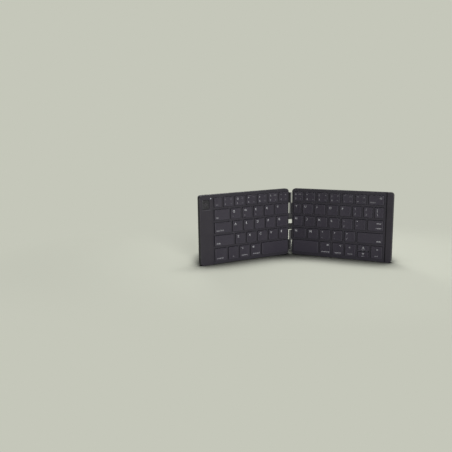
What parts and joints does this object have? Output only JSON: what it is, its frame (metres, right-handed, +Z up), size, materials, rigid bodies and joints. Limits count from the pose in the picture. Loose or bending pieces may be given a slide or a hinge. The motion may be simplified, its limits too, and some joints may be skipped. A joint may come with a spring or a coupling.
{
  "type": "folding keyboard",
  "caption": "Thin folding keyboard standing half open on its long edge, with low rounded keys in staggered rows, raised end strips and a barrel hinge between its halves.",
  "frame": {"origin": "centre of the bounding box in plan, at the surface that the keyboard stands on", "axes": "+Z up along the hinge axis and the keyboard's depth, -Y towards the viewer and the open side of the V, +X to the viewer's right along the keyboard's long direction"},
  "size_m": [0.2678, 0.0717, 0.098],
  "materials": {
    "case_plastic": "fine matte texture",
    "deck_plastic": "fine matte texture",
    "strip_plastic": "fine matte texture",
    "key_plastic": "satin matte",
    "sheet_steel": "rolled",
    "film": "clear film",
    "silicone": "soft translucent",
    "link_plastic": "moulded",
    "foot_rubber": "soft matte",
    "screw_steel": "dark zinc",
    "bracket_metal": "fine matte paint",
    "pin_steel": "ground",
    "sleeve_rubber": "matte",
    "foil": "foil",
    "board": "solder mask",
    "port_steel": "plated",
    "button_plastic": "smooth",
    "light_lens": "clear lens"
  },
  "bodies": {
    "left_half": {"left_base": "case_plastic", "left_key_frame": "deck_plastic", "left_strip_cover": "strip_plastic", "left_key_plate": "sheet_steel", "left_membrane": "film", "left_domes": "silicone", "left_scissors": "link_plastic", "left_feet": "foot_rubber", "left_screws": "screw_steel", "left_hinge_brackets": "bracket_metal", "hinge_pins": "pin_steel", "cable_sleeves": "sleeve_rubber", "battery": "foil", "circuit_board": "board", "charging_port": "port_steel", "status_light": "light_lens"},
    "right_half": {"right_base": "case_plastic", "right_key_frame": "deck_plastic", "right_strip_cover": "strip_plastic", "right_key_plate": "sheet_steel", "right_membrane": "film", "right_domes": "silicone", "right_scissors": "link_plastic", "right_feet": "foot_rubber", "right_screws": "screw_steel", "right_hinge_brackets": "bracket_metal"},
    "pairing_button": {"pairing_button": "button_plastic"},
    "key_a": {"key_a": "key_plastic"},
    "key_b": {"key_b": "key_plastic"},
    "key_c": {"key_c": "key_plastic"},
    "key_d": {"key_d": "key_plastic"},
    "key_e": {"key_e": "key_plastic"},
    "key_f": {"key_f": "key_plastic"},
    "key_g": {"key_g": "key_plastic"},
    "key_h": {"key_h": "key_plastic"},
    "key_i": {"key_i": "key_plastic"},
    "key_j": {"key_j": "key_plastic"},
    "key_k": {"key_k": "key_plastic"},
    "key_l": {"key_l": "key_plastic"},
    "key_m": {"key_m": "key_plastic"},
    "key_n": {"key_n": "key_plastic"},
    "key_o": {"key_o": "key_plastic"},
    "key_p": {"key_p": "key_plastic"},
    "key_q": {"key_q": "key_plastic"},
    "key_r": {"key_r": "key_plastic"},
    "key_s": {"key_s": "key_plastic"},
    "key_t": {"key_t": "key_plastic"},
    "key_u": {"key_u": "key_plastic"},
    "key_v": {"key_v": "key_plastic"},
    "key_w": {"key_w": "key_plastic"},
    "key_x": {"key_x": "key_plastic"},
    "key_y": {"key_y": "key_plastic"},
    "key_z": {"key_z": "key_plastic"},
    "key_space_left": {"key_space_left": "key_plastic"},
    "key_space_right": {"key_space_right": "key_plastic"},
    "keys_digits_left": {"keys_digits_left": "key_plastic"},
    "keys_digits_right": {"keys_digits_right": "key_plastic"},
    "keys_controls_left": {"keys_controls_left": "key_plastic"},
    "keys_punctuation": {"keys_punctuation": "key_plastic"},
    "keys_controls_right": {"keys_controls_right": "key_plastic"}
  },
  "joints": [
    {"name": "fold", "type": "hinge", "parent": "left_half", "child": "right_half", "pos_m": [0, 0.03002, 0], "axis": [0, 0, 1], "range_deg": [-126.2, 53.8], "deforming": ["cable_sleeves"]},
    {"name": "pairing_button_press", "type": "slide", "parent": "left_half", "child": "pairing_button", "axis": [-0.4524, 0.8918, 0], "range_m": [0, 0.0004], "stiffness_N_per_m": 1500},
    {"name": "key_a_press", "type": "slide", "parent": "left_half", "child": "key_a", "axis": [-0.4524, 0.8918, 0], "range_m": [0, 0.0014], "stiffness_N_per_m": 350, "deforming": ["left_domes", "left_scissors"]},
    {"name": "key_b_press", "type": "slide", "parent": "left_half", "child": "key_b", "axis": [-0.4524, 0.8918, 0], "range_m": [0, 0.0014], "stiffness_N_per_m": 350, "deforming": ["left_domes", "left_scissors"]},
    {"name": "key_c_press", "type": "slide", "parent": "left_half", "child": "key_c", "axis": [-0.4524, 0.8918, 0], "range_m": [0, 0.0014], "stiffness_N_per_m": 350, "deforming": ["left_domes", "left_scissors"]},
    {"name": "key_d_press", "type": "slide", "parent": "left_half", "child": "key_d", "axis": [-0.4524, 0.8918, 0], "range_m": [0, 0.0014], "stiffness_N_per_m": 350, "deforming": ["left_domes", "left_scissors"]},
    {"name": "key_e_press", "type": "slide", "parent": "left_half", "child": "key_e", "axis": [-0.4524, 0.8918, 0], "range_m": [0, 0.0014], "stiffness_N_per_m": 350, "deforming": ["left_domes", "left_scissors"]},
    {"name": "key_f_press", "type": "slide", "parent": "left_half", "child": "key_f", "axis": [-0.4524, 0.8918, 0], "range_m": [0, 0.0014], "stiffness_N_per_m": 350, "deforming": ["left_domes", "left_scissors"]},
    {"name": "key_g_press", "type": "slide", "parent": "left_half", "child": "key_g", "axis": [-0.4524, 0.8918, 0], "range_m": [0, 0.0014], "stiffness_N_per_m": 350, "deforming": ["left_domes", "left_scissors"]},
    {"name": "key_h_press", "type": "slide", "parent": "right_half", "child": "key_h", "axis": [0.4524, 0.8918, 0], "range_m": [0, 0.0014], "stiffness_N_per_m": 350, "deforming": ["right_domes", "right_scissors"]},
    {"name": "key_i_press", "type": "slide", "parent": "right_half", "child": "key_i", "axis": [0.4524, 0.8918, 0], "range_m": [0, 0.0014], "stiffness_N_per_m": 350, "deforming": ["right_domes", "right_scissors"]},
    {"name": "key_j_press", "type": "slide", "parent": "right_half", "child": "key_j", "axis": [0.4524, 0.8918, 0], "range_m": [0, 0.0014], "stiffness_N_per_m": 350, "deforming": ["right_domes", "right_scissors"]},
    {"name": "key_k_press", "type": "slide", "parent": "right_half", "child": "key_k", "axis": [0.4524, 0.8918, 0], "range_m": [0, 0.0014], "stiffness_N_per_m": 350, "deforming": ["right_domes", "right_scissors"]},
    {"name": "key_l_press", "type": "slide", "parent": "right_half", "child": "key_l", "axis": [0.4524, 0.8918, 0], "range_m": [0, 0.0014], "stiffness_N_per_m": 350, "deforming": ["right_domes", "right_scissors"]},
    {"name": "key_m_press", "type": "slide", "parent": "right_half", "child": "key_m", "axis": [0.4524, 0.8918, 0], "range_m": [0, 0.0014], "stiffness_N_per_m": 350, "deforming": ["right_domes", "right_scissors"]},
    {"name": "key_n_press", "type": "slide", "parent": "right_half", "child": "key_n", "axis": [0.4524, 0.8918, 0], "range_m": [0, 0.0014], "stiffness_N_per_m": 350, "deforming": ["right_domes", "right_scissors"]},
    {"name": "key_o_press", "type": "slide", "parent": "right_half", "child": "key_o", "axis": [0.4524, 0.8918, 0], "range_m": [0, 0.0014], "stiffness_N_per_m": 350, "deforming": ["right_domes", "right_scissors"]},
    {"name": "key_p_press", "type": "slide", "parent": "right_half", "child": "key_p", "axis": [0.4524, 0.8918, 0], "range_m": [0, 0.0014], "stiffness_N_per_m": 350, "deforming": ["right_domes", "right_scissors"]},
    {"name": "key_q_press", "type": "slide", "parent": "left_half", "child": "key_q", "axis": [-0.4524, 0.8918, 0], "range_m": [0, 0.0014], "stiffness_N_per_m": 350, "deforming": ["left_domes", "left_scissors"]},
    {"name": "key_r_press", "type": "slide", "parent": "left_half", "child": "key_r", "axis": [-0.4524, 0.8918, 0], "range_m": [0, 0.0014], "stiffness_N_per_m": 350, "deforming": ["left_domes", "left_scissors"]},
    {"name": "key_s_press", "type": "slide", "parent": "left_half", "child": "key_s", "axis": [-0.4524, 0.8918, 0], "range_m": [0, 0.0014], "stiffness_N_per_m": 350, "deforming": ["left_domes", "left_scissors"]},
    {"name": "key_t_press", "type": "slide", "parent": "left_half", "child": "key_t", "axis": [-0.4524, 0.8918, 0], "range_m": [0, 0.0014], "stiffness_N_per_m": 350, "deforming": ["left_domes", "left_scissors"]},
    {"name": "key_u_press", "type": "slide", "parent": "right_half", "child": "key_u", "axis": [0.4524, 0.8918, 0], "range_m": [0, 0.0014], "stiffness_N_per_m": 350, "deforming": ["right_domes", "right_scissors"]},
    {"name": "key_v_press", "type": "slide", "parent": "left_half", "child": "key_v", "axis": [-0.4524, 0.8918, 0], "range_m": [0, 0.0014], "stiffness_N_per_m": 350, "deforming": ["left_domes", "left_scissors"]},
    {"name": "key_w_press", "type": "slide", "parent": "left_half", "child": "key_w", "axis": [-0.4524, 0.8918, 0], "range_m": [0, 0.0014], "stiffness_N_per_m": 350, "deforming": ["left_domes", "left_scissors"]},
    {"name": "key_x_press", "type": "slide", "parent": "left_half", "child": "key_x", "axis": [-0.4524, 0.8918, 0], "range_m": [0, 0.0014], "stiffness_N_per_m": 350, "deforming": ["left_domes", "left_scissors"]},
    {"name": "key_y_press", "type": "slide", "parent": "right_half", "child": "key_y", "axis": [0.4524, 0.8918, 0], "range_m": [0, 0.0014], "stiffness_N_per_m": 350, "deforming": ["right_domes", "right_scissors"]},
    {"name": "key_z_press", "type": "slide", "parent": "left_half", "child": "key_z", "axis": [-0.4524, 0.8918, 0], "range_m": [0, 0.0014], "stiffness_N_per_m": 350, "deforming": ["left_domes", "left_scissors"]},
    {"name": "key_space_left_press", "type": "slide", "parent": "left_half", "child": "key_space_left", "axis": [-0.4524, 0.8918, 0], "range_m": [0, 0.0014], "stiffness_N_per_m": 350, "deforming": ["left_domes", "left_scissors"]},
    {"name": "key_space_right_press", "type": "slide", "parent": "right_half", "child": "key_space_right", "axis": [0.4524, 0.8918, 0], "range_m": [0, 0.0014], "stiffness_N_per_m": 350, "deforming": ["right_domes", "right_scissors"]},
    {"name": "keys_digits_left_press", "type": "slide", "parent": "left_half", "child": "keys_digits_left", "axis": [-0.4524, 0.8918, 0], "range_m": [0, 0.0014], "stiffness_N_per_m": 2100, "deforming": ["left_domes", "left_scissors"]},
    {"name": "keys_digits_right_press", "type": "slide", "parent": "right_half", "child": "keys_digits_right", "axis": [0.4524, 0.8918, 0], "range_m": [0, 0.0014], "stiffness_N_per_m": 2100, "deforming": ["right_domes", "right_scissors"]},
    {"name": "keys_controls_left_press", "type": "slide", "parent": "left_half", "child": "keys_controls_left", "axis": [-0.4524, 0.8918, 0], "range_m": [0, 0.0014], "stiffness_N_per_m": 2800, "deforming": ["left_domes", "left_scissors"]},
    {"name": "keys_punctuation_press", "type": "slide", "parent": "right_half", "child": "keys_punctuation", "axis": [0.4524, 0.8918, 0], "range_m": [0, 0.0014], "stiffness_N_per_m": 2800, "deforming": ["right_domes", "right_scissors"]},
    {"name": "keys_controls_right_press", "type": "slide", "parent": "right_half", "child": "keys_controls_right", "axis": [0.4524, 0.8918, 0], "range_m": [0, 0.0014], "stiffness_N_per_m": 3150, "deforming": ["right_domes", "right_scissors"]}
  ]
}
